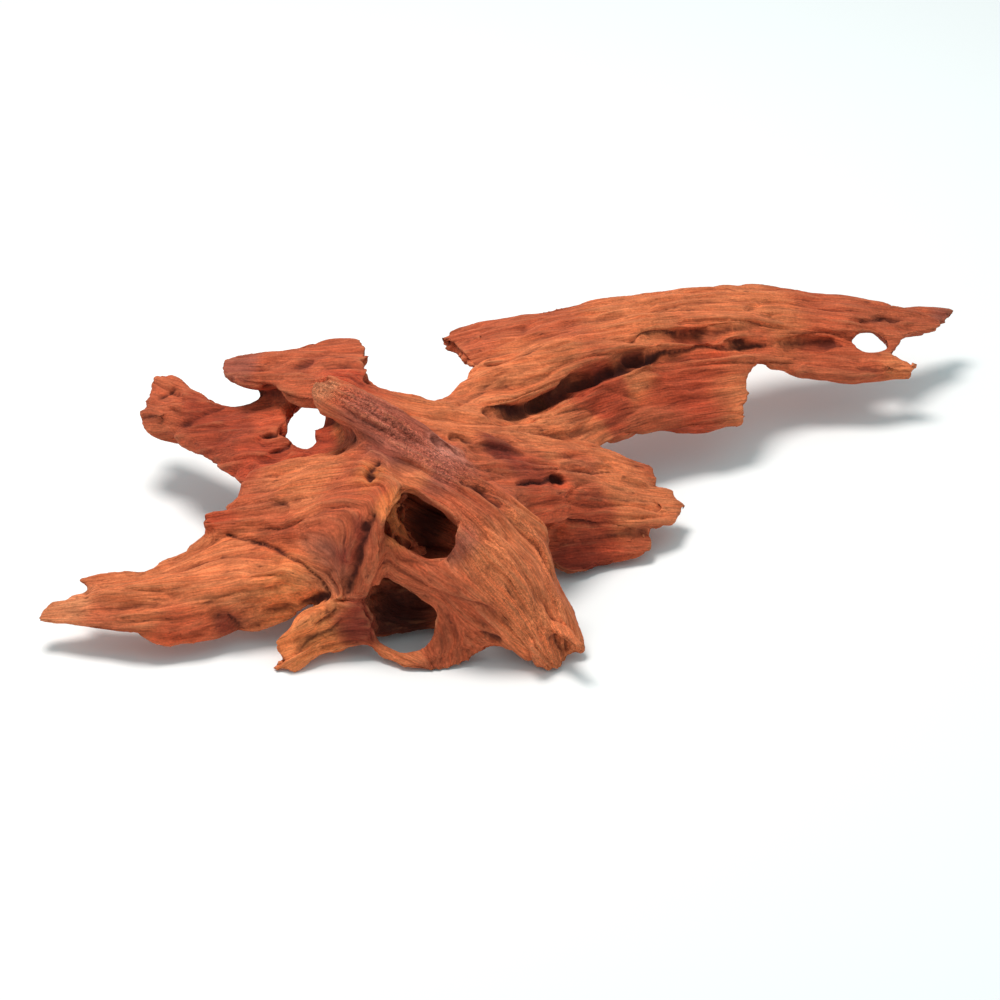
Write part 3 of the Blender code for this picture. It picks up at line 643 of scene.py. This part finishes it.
def nearness(points, tree, spot, reach):
    # 1 at a spot on the wood, fading with the distance from it
    middle = onWood(tree, spot)
    if middle is None:
        return np.zeros(len(points))
    return np.exp(-((points - np.array(middle)) ** 2).sum(1) / (reach * stepSize) ** 2)


def raggedEnds(points, tree, grain, along, normals):
    # where the fibres end, they are broken off at different lengths
    squareness = np.abs((along * normals).sum(1))
    ending = np.clip((squareness - endRules["from"]) * endRules["turning"], 0, 1)
    broken = np.zeros(len(points))
    for x, y, reach in brokenEnds.values():
        fullness = endRules["fullness"] * nearness(points, tree, (x, y), reach)
        broken = np.maximum(broken, np.clip(fullness, 0, 1))
    depth = np.zeros(len(points))
    for width, deepest in endRules["widths"].items():
        noisy = grainNoise(grain, endRules["length"], width, endRules["shift"])
        depth += broken * np.clip(noisy, 0, 1) * deepest
    for x, y, reach, deepest in notches.values():
        depth += nearness(points, tree, (x, y), reach) * deepest * mm
    return ending * depth


def thickness(tree, points, normals):
    # how far it is through the wood, from each point straight in
    found = np.full(len(points), body["thickest"])
    starts = points - normals * body["inset"]
    for i, (start, normal) in enumerate(zip(starts.tolist(), (-normals).tolist())):
        hit = tree.ray_cast(start, normal, body["thickest"])
        if hit[0] is not None:
            found[i] = hit[3]
    return found


towards = np.array(eye) - points
towards /= np.linalg.norm(towards, axis=1)[:, None]
facing = (normals * towards).sum(1) - crackRules["facing"]
facing = np.clip(facing * crackRules["turning"], 0, 1)
opened, crackShade = [evened(marks, near, far) for marks in crackMarks(points, across, down, facing)]
rough, bumps = fuzz(across, down, facing, points)
carved = evened(grooves(grain), near, far) + opened
through = thickness(tree, points, normals)
share = body["thinShare"] * np.clip(through / body["thinBelow"], body["leastShare"], 1)
carved = np.minimum(carved, through * share)
carved += evened(raggedEnds(points, tree, grain, along, normals), near, far) - bumps
points = points - normals * carved[:, None]
setPoints(mesh, points)
print("relief", round(float(carved.mean()) / mm, 2), "mm deep on average")


# tones: how sun, soil and water have tinted the wood, by place in the picture; some patches lay
# painted shade in holes, slits and hollows, and painted light on wood that lies in shade

tones = {
    "orange": colour(214, 118, 73),
    "tan": colour(218, 132, 88),
    "brown": colour(186, 90, 57),
    "rust": colour(180, 71, 43),
    "plum": colour(160, 84, 66),
    "ochre": colour(214, 122, 64),
    # wine: dark red laid only in slits, pits, notches and hollows, and under the side lobe: painted
    # shade
    "wineShade": colour(134, 50, 36),
    # flame: a brighter rust for wood in the shade of grooves and overhangs: its own red, lightened
    # with painted light
    "flame": colour(206, 90, 55),
    "russet": colour(154, 62, 38),
    # amber: the brightest orange, for wood that lies in shade: its own orange, lightened with
    # painted light
    "amber": colour(236, 134, 78),
    "pale": colour(214, 132, 112),
    "dust": colour(182, 112, 78),
    # painted shade: the near-black red-brown inside the knot holes
    "paintedShade": colour(54, 18, 13),
}
patches = {  # across, down and reach in steps, and tone
    "armLeftEnd": (470, 335, 26, "brown"),
    "armLeftBack": (540, 318, 30, "brown"),
    "armTopLeft": (545, 345, 36, "orange"),
    "armTop": (650, 308, 44, "orange"),
    "armTopRight": (745, 298, 44, "orange"),
    "armRootTop": (500, 380, 30, "orange"),
    "armOuterTop": (830, 300, 34, "brown"),
    "armTip": (905, 312, 24, "brown"),
    "armTipEnd": (950, 310, 12, "plum"),
    # flame in the arm's inner hollows: painted light in their shade
    "armInner": (690, 340, 22, "flame"),
    "armInnerRight": (760, 335, 20, "flame"),
    "armHollow": (825, 338, 18, "flame"),
    "armHollowMiddle": (720, 342, 12, "flame"),
    # painted shade along the arm's main slit, under its overhanging lip
    "armSlit": (520, 409, 7, "wineShade"),
    "armSlitMiddle": (556, 397, 7, "wineShade"),
    "armSlitRight": (596, 377, 7, "wineShade"),
    "armSlitEnd": (634, 362, 7, "wineShade"),
    "armFlapLeft": (600, 392, 26, "rust"),
    "armFlapStreak": (640, 378, 14, "orange"),
    "armFlap": (690, 392, 34, "rust"),
    "armFlapEnd": (738, 400, 20, "orange"),
    "armFlapEdge": (660, 420, 20, "brown"),
    "tailLow": (840, 360, 26, "brown"),
    "tailLowEnd": (905, 363, 12, "orange"),
    "flapRun": (450, 408, 30, "orange"),
    "flapRunRight": (545, 428, 34, "orange"),
    "flapRunEnd": (595, 432, 16, "orange"),
    "flapLeftEnd": (236, 362, 18, "plum"),
    "flapMiddle": (285, 372, 22, "brown"),
    # painted shade in the pit of the upper flap
    "flapPit": (300, 362, 10, "wineShade"),
    "flapRight": (345, 346, 20, "brown"),
    "flapRightLow": (345, 370, 18, "rust"),
    "flapUnder": (300, 392, 16, "brown"),
    "lobeEndTop": (165, 378, 14, "brown"),
    "lobeEnd": (165, 408, 16, "brown"),
    "lobeTop": (205, 404, 20, "russet"),
    "lobeMiddle": (235, 425, 30, "russet"),
    # flame: painted light on the lobe's shaded side under the flap
    "lobeRight": (270, 410, 20, "flame"),
    "lobeFoot": (250, 462, 24, "rust"),
    "lobeInner": (318, 438, 16, "rust"),
    "lobePatch": (336, 425, 10, "orange"),
    "fanTop": (300, 482, 30, "orange"),
    "fanTopRight": (345, 478, 24, "brown"),
    "fanLeft": (215, 516, 14, "rust"),
    "fanMiddle": (265, 512, 24, "brown"),
    "fanKnot": (330, 512, 18, "brown"),
    "fanLow": (285, 538, 22, "rust"),
    "fanLowRight": (322, 560, 22, "plum"),
    # painted shade along the fan's side crack
    "fanSide": (350, 560, 9, "wineShade"),
    "fanSideTop": (362, 530, 8, "wineShade"),
    "bladeTip": (60, 610, 22, "tan"),
    "bladeBack": (140, 580, 34, "orange"),
    "bladeMiddle": (220, 565, 40, "orange"),
    # amber: painted light on the blade in the fan's shadow
    "bladeRight": (290, 580, 30, "amber"),
    "bladeLow": (180, 630, 22, "flame"),
    "bladeLowLeft": (110, 622, 20, "brown"),
    # painted shade in the notch under the blade's edge
    "bladeNotch": (228, 628, 12, "wineShade"),
    # amber: painted light on the shaded foot
    "foot": (300, 640, 28, "amber"),
    "footToe": (284, 666, 10, "orange"),
    # painted shade in the foot's fold and beside the lower hole
    "footDark": (334, 620, 8, "wineShade"),
    "footInner": (355, 622, 14, "wineShade"),
    "ridgeEnd": (320, 384, 10, "dust"),
    "ridgeTop": (370, 412, 22, "plum"),
    "ridgeMiddle": (412, 442, 24, "plum"),
    "ridgeFuzz": (448, 450, 12, "pale"),
    "ridgeLow": (440, 466, 18, "plum"),
    "hoodLeftTop": (360, 470, 14, "ochre"),
    "hoodTop": (405, 474, 12, "orange"),
    "hoodCrest": (470, 500, 20, "brown"),
    "hoodRidge": (530, 520, 16, "orange"),
    "hoodRidgeLow": (550, 560, 12, "orange"),
    "hoodFace": (500, 560, 30, "orange"),
    "hoodNose": (545, 630, 28, "orange"),
    "hoodSide": (462, 545, 14, "plum"),
    "hoodFront": (450, 600, 22, "brown"),
    "hoodBridge": (390, 560, 14, "brown"),
    "hoodPillar": (374, 530, 9, "brown"),
    "hoodPillarTop": (372, 495, 10, "brown"),
    # amber: painted light on the crumbled lumps in the shaded knot hole
    "hoodLump": (392, 500, 7, "amber"),
    "hoodLumpLow": (402, 540, 7, "amber"),
    "hoodLumpHigh": (398, 508, 8, "amber"),
    "hoodLumpMiddle": (396, 522, 8, "amber"),
    # painted shade inside the two knot holes
    "upperHole": (428, 522, 14, "paintedShade"),
    "lowerHole": (402, 612, 18, "paintedShade"),
    "hoodLip": (440, 642, 16, "brown"),
    "hoodLipLeft": (395, 656, 12, "orange"),
    # painted shade in the hollow where the side lobe meets the arm
    "sideRoot": (500, 446, 14, "wineShade"),
    "sideRootLow": (490, 470, 12, "brown"),
    "sideTop": (580, 455, 16, "brown"),
    "sideMiddle": (535, 470, 18, "russet"),
    # flame: painted light on the side lobe's shaded middle
    "sideShaded": (560, 500, 22, "flame"),
    "sideFace": (620, 478, 26, "orange"),
    "sideEnd": (665, 500, 18, "orange"),
    "sideEndLow": (630, 514, 16, "orange"),
    "lowerLayer": (600, 536, 24, "rust"),
    "lowerLayerEnd": (642, 540, 12, "brown"),
    # painted shade on the lower layer's foot, under the side lobe
    "lowerLayerFoot": (585, 562, 18, "wineShade"),
}
toneRules = {
    "wander": 7 * mm,  # how far the border of a patch strays
    "wanderLength": 16 * mm,
    "wanderShifts": (0.31, 0.47, 0.73),
    "base": "brown",  # the tone where no patch reaches
    "baseShare": 0.04,
}


def paintTones(points, tree):
    # patches lie on the wood and flow into each other, with ragged borders
    drift = [
        placeNoise(points + shift, toneRules["wanderLength"])
        for shift in toneRules["wanderShifts"]
    ]
    places = points + np.column_stack(drift) * toneRules["wander"]
    total = np.tile(np.array(tones[toneRules["base"]]) * toneRules["baseShare"], (len(points), 1))
    shares = np.full(len(points), toneRules["baseShare"])
    for x, y, reach, tone in patches.values():
        middle = onWood(tree, (x, y))
        if middle is None:
            continue
        square = ((places - np.array(middle)) ** 2).sum(1) / (reach * stepSize) ** 2
        share = np.exp(-square)
        total += share[:, None] * np.array(tones[tone])
        shares += share
    return total / shares[:, None]


# hollows and worn ridges: how far the surface lies below or above what surrounds it, which sets
# painted shade in the hollows and paler wear on the ridges

wearAndShadeScales = {2: 0.5, 10: 0.3, 40: 0.2}  # rounds of smoothing, and how much each counts


def wearAndCreviceShade(mesh, points, near, far):
    # above 0 in hollows and below it on ridges
    count = len(points)
    number = (np.bincount(near, minlength=count) + np.bincount(far, minlength=count))[:, None]
    normals = pointsOf(mesh, "normal")
    smooth, total, done = points, np.zeros(count), 0
    for rounds, share in wearAndShadeScales.items():
        for _ in range(rounds - done):
            sums = [
                np.bincount(near, smooth[far, i], count) + np.bincount(far, smooth[near, i], count)
                for i in range(3)
            ]
            smooth = np.column_stack(sums) / number
        done = rounds
        rise = ((smooth - points) * normals).sum(1)
        total += share * rise / rise.std()
    return total


def addAttribute(mesh, name, kind, values):
    slot = mesh.attributes.new(name, kind, "POINT")
    fields = {"FLOAT": "value", "FLOAT_VECTOR": "vector", "FLOAT_COLOR": "color"}
    slot.data.foreach_set(fields[kind], values.astype(np.float32).ravel())


tint = paintTones(points, tree)
addAttribute(mesh, "grain", "FLOAT_VECTOR", grain)
addAttribute(mesh, "tint", "FLOAT_COLOR", np.column_stack([tint, np.ones(len(tint))]))
addAttribute(mesh, "hollow", "FLOAT", wearAndCreviceShade(mesh, points, near, far))
addAttribute(mesh, "crackShade", "FLOAT", crackShade)
addAttribute(mesh, "rough", "FLOAT", rough)
print("tones", len(patches), "patches")


def fewerFaces(mesh):
    obj = newObject("carvedBody", mesh)
    fewer = obj.modifiers.new("fewer", "DECIMATE")
    fewer.ratio = min(1, body["most"] / (2 * len(mesh.polygons)))
    fewer.use_collapse_triangulate = True
    return finished(obj)


def keepInBox(mesh):
    # the feet are let down to the floor, and nothing stands past the solid's box
    points = pointsOf(mesh)
    low, high = np.array(cadBox[0]), np.array(cadBox[1])
    gap = points[:, 2].min() - low[2]
    points[:, 2] -= gap * np.clip(1 - points[:, 2] / body["feet"], 0, 1)
    setPoints(mesh, np.clip(points, low, high))


mesh = fewerFaces(mesh)
keepInBox(mesh)
mesh.name = "teakWood"
mesh.shade_smooth()
wood = newObject("teakWood", mesh)
print("wood", len(mesh.polygons), "triangles,", [a.name for a in mesh.attributes])


# the finish: dry fibres in light and dark streaks, painted shade in the cracks and hollows, and
# pale on worn ridges

finish = {
    # noise along the fibres: length and width in mm, and detail
    "fine": (15, 0.75, 3),
    "bands": (48, 3.0, 2),
    "hues": (30, 2.2, 2),
    "flecks": (9, 1.3, 2),
    "grit": 0.6,  # how rough that noise is
    # noise that doesn't follow them: size in mm, detail and twist
    "blotch": (9, 4, 0),
    "speckle": (1.1, 2, 0),
    "fuzz": (1.7, 2, 2.6),
    # where a change of light or colour begins and ends, and how much it is at either end
    "fineLight": (0.3, 0.7, 0.66, 1.28),
    "bandLight": (0.3, 0.7, 0.78, 1.16),
    "blotchLight": (0.3, 0.7, 0.85, 1.14),
    "speckleLight": (0.3, 0.7, 0.84, 1.14),
    "fuzzLight": (0.35, 0.68, 0.58, 1.9),
    "hueShare": (0.35, 0.65, 0.0, 1.0),
    "wornShare": (-0.6, -3.0, 0.0, 0.4),
    "fleckShare": (0.62, 0.74, 0.0, 0.6),
    "creviceShadeShare": (0.5, 3.0, 0.0, 0.75),
    "crackShadeShare": 0.88,
    "dullHue": (1.0, 0.84, 0.76, 1),
    "brightHue": (1.05, 1.10, 1.12, 1),
    # dark red-brown: painted shade in the hollows, and the colour of the dark flecks in the grain
    "crevice": (*colour(64, 18, 14), 1),
    # painted shade: the near-black red laid in the cracks
    "crack": (*colour(50, 12, 13), 1),
    "worn": (*colour(232, 146, 100), 1),
    "bump": 0.6 * mm,
    "bandHeight": 0.8,  # beside the fine fibres' 1
    "fuzzHeight": 1.6,
    "roughness": 0.88,
    "specular": 0.25,
}


def addNode(tree, kind, inputs=None, **settings):
    node = tree.nodes.new("ShaderNode" + kind)
    for name, value in settings.items():
        setattr(node, name, value)
    for name, value in (inputs or {}).items():
        if isinstance(value, bpy.types.NodeSocket):
            tree.links.new(value, node.inputs[name])
        else:
            node.inputs[name].default_value = value
    return node


def streaks(tree, grainSocket, length, width, detail):
    # noise that is drawn out along the fibres
    scale = (1000 / length, 1000 / width, 1000 / width)
    stretched = addNode(tree, "Mapping", {"Vector": grainSocket, "Scale": scale})
    inputs = {"Vector": stretched.outputs["Vector"], "Scale": 1.0, "Detail": detail,
              "Roughness": finish["grit"]}
    return addNode(tree, "TexNoise", inputs).outputs["Fac"]


def dapples(tree, place, size, detail, twist):
    # noise that is as long as it is wide
    inputs = {"Vector": place, "Scale": 1000 / size, "Detail": detail, "Distortion": twist}
    return addNode(tree, "TexNoise", inputs).outputs["Fac"]


def stored(tree, name, output="Fac"):
    # what the mesh keeps under this name
    return addNode(tree, "Attribute", attribute_name=name).outputs[output]


def ranged(tree, value, low, high, toLow, toHigh):
    inputs = {"Value": value, "From Min": low, "From Max": high, "To Min": toLow, "To Max": toHigh}
    return addNode(tree, "MapRange", inputs).outputs["Result"]


def mixed(tree, mode, share, a, b):
    node = addNode(tree, "Mix", data_type="RGBA", blend_type=mode)
    for index, value in ((0, share), (6, a), (7, b)):
        if isinstance(value, bpy.types.NodeSocket):
            tree.links.new(value, node.inputs[index])
        else:
            node.inputs[index].default_value = value
    return node.outputs[2]


def calculated(tree, operation, a, b):
    return addNode(tree, "Math", {0: a, 1: b}, operation=operation).outputs[0]


def makeFinish():
    material = bpy.data.materials.new("weatheredTeak")
    material.use_nodes = True
    tree = material.node_tree
    surface = tree.nodes["Principled BSDF"]
    grainSocket = stored(tree, "grain", "Vector")
    hollowSocket = stored(tree, "hollow")
    roughSocket = stored(tree, "rough")
    fine = streaks(tree, grainSocket, *finish["fine"])
    bands = streaks(tree, grainSocket, *finish["bands"])
    hues = streaks(tree, grainSocket, *finish["hues"])
    flecks = streaks(tree, grainSocket, *finish["flecks"])
    place = addNode(tree, "TexCoord").outputs["Object"]
    blotch = dapples(tree, place, *finish["blotch"])
    speckle = dapples(tree, place, *finish["speckle"])
    fuzzNoise = dapples(tree, place, *finish["fuzz"])

    light = ranged(tree, fine, *finish["fineLight"])
    for noiseSocket, change in ((bands, "bandLight"), (blotch, "blotchLight"),
                                (speckle, "speckleLight")):
        light = calculated(tree, "MULTIPLY", light, ranged(tree, noiseSocket, *finish[change]))
    hueShare = ranged(tree, hues, *finish["hueShare"])
    hue = mixed(tree, "MIX", hueShare, finish["dullHue"], finish["brightHue"])
    shaded = mixed(tree, "MULTIPLY", 1.0, stored(tree, "tint", "Color"), hue)
    shaded = mixed(tree, "MULTIPLY", 1.0, shaded, light)
    fuzzLight = ranged(tree, fuzzNoise, *finish["fuzzLight"])
    shaded = mixed(tree, "MULTIPLY", roughSocket, shaded, fuzzLight)
    worn = ranged(tree, hollowSocket, *finish["wornShare"])
    shaded = mixed(tree, "MIX", worn, shaded, finish["worn"])
    fleck = ranged(tree, flecks, *finish["fleckShare"])
    shaded = mixed(tree, "MIX", fleck, shaded, finish["crevice"])
    # painted shade darkens the hollows
    crevice = ranged(tree, hollowSocket, *finish["creviceShadeShare"])
    shaded = mixed(tree, "MIX", crevice, shaded, finish["crevice"])
    # painted shade darkens the cracks
    crack = calculated(tree, "MULTIPLY", stored(tree, "crackShade"), finish["crackShadeShare"])
    shaded = mixed(tree, "MIX", crack, shaded, finish["crack"])
    tree.links.new(shaded, surface.inputs["Base Color"])

    bandHeight = calculated(tree, "MULTIPLY", bands, finish["bandHeight"])
    fuzzHeight = calculated(tree, "MULTIPLY", fuzzNoise, roughSocket)
    fuzzHeight = calculated(tree, "MULTIPLY", fuzzHeight, finish["fuzzHeight"])
    height = calculated(tree, "ADD", calculated(tree, "ADD", bandHeight, fine), fuzzHeight)
    bump = addNode(tree, "Bump", {"Height": height, "Distance": finish["bump"], "Strength": 1.0})
    tree.links.new(bump.outputs["Normal"], surface.inputs["Normal"])
    surface.inputs["Roughness"].default_value = finish["roughness"]
    surface.inputs["Specular IOR Level"].default_value = finish["specular"]
    return material


wood.data.materials.append(makeFinish())
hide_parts("teak_wood")
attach(wood, "root")
print("finish done")


# the studio: a white floor under a soft overhead light, which stands a little to the left

studio = {
    "floorSize": 12,
    "floor": (0.9, 0.9, 0.9, 1),
    "floorRoughness": 0.9,
    "world": 0.57,
    "sky": (0.80, 1.0, 1.03, 1),
    "softboxAt": Vector((-0.38, 0.16, 1.5)),
    "softboxSize": 0.65,
    "softboxPower": 20,
    "softboxTint": (1.0, 0.94, 0.90),
}


def makeStudio():
    shape = bmesh.new()
    bmesh.ops.create_grid(shape, x_segments=1, y_segments=1, size=studio["floorSize"] / 2)
    floorMesh = bpy.data.meshes.new("floor")
    shape.to_mesh(floorMesh)
    shape.free()
    paper = bpy.data.materials.new("whitePaper")
    paper.use_nodes = True
    surface = paper.node_tree.nodes["Principled BSDF"]
    surface.inputs["Base Color"].default_value = studio["floor"]
    surface.inputs["Roughness"].default_value = studio["floorRoughness"]
    floorMesh.materials.append(paper)
    newObject("floor", floorMesh)

    world = bpy.data.worlds.new("studio")
    world.use_nodes = True
    sky = world.node_tree.nodes["Background"]
    sky.inputs["Color"].default_value = studio["sky"]
    sky.inputs["Strength"].default_value = studio["world"]
    bpy.context.scene.world = world

    lamp = bpy.data.lights.new("softbox", "AREA")
    lamp.shape = "DISK"
    lamp.size = studio["softboxSize"]
    lamp.energy = studio["softboxPower"]
    lamp.color = studio["softboxTint"]
    softbox = newObject("softbox", lamp)
    softbox.location = studio["softboxAt"]
    aim = camera["target"] - studio["softboxAt"]
    softbox.rotation_mode = "QUATERNION"
    softbox.rotation_quaternion = aim.to_track_quat("-Z", "Y")


def makeCamera():
    lens = bpy.data.cameras.new("camera")
    lens.sensor_width = camera["sensor"]
    lens.angle = 2 * math.atan(camera["width"] / 2 / camera["distance"])
    lens.clip_end = camera["farthest"]
    stand = newObject("camera", lens)
    turn = Matrix((right, up, -forward)).transposed()
    stand.matrix_world = Matrix.Translation(eye) @ turn.to_4x4()
    bpy.context.scene.camera = stand


makeStudio()
makeCamera()
bpy.context.scene.view_settings.view_transform = "Standard"
print("studio done")
